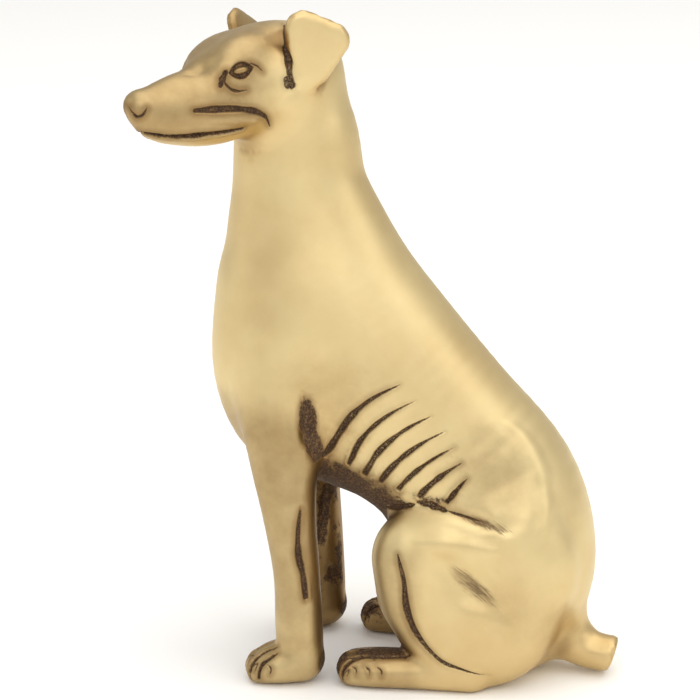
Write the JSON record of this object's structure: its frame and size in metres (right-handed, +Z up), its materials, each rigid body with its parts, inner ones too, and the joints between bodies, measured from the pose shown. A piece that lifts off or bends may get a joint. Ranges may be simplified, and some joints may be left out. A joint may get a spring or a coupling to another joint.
{
  "type": "dog statue",
  "caption": "Seated hound cast in brass, a table ornament: it sits upright, head turned to its left, with folded ears, carved ribs and a docked tail.",
  "frame": {"origin": "middle of the bounding box in plan, on the plane the feet and rump stand on", "axes": "+Z up; -X the way the chest faces, +X towards the tail; +Y to the dog's right"},
  "size_m": [0.2092, 0.1068, 0.3],
  "materials": {
    "cast_brass": "satin polished cast brass, with dark brown patina left in the carving"
  },
  "bodies": {
    "root": {"brass_dog": "cast_brass"}
  },
  "joints": []
}
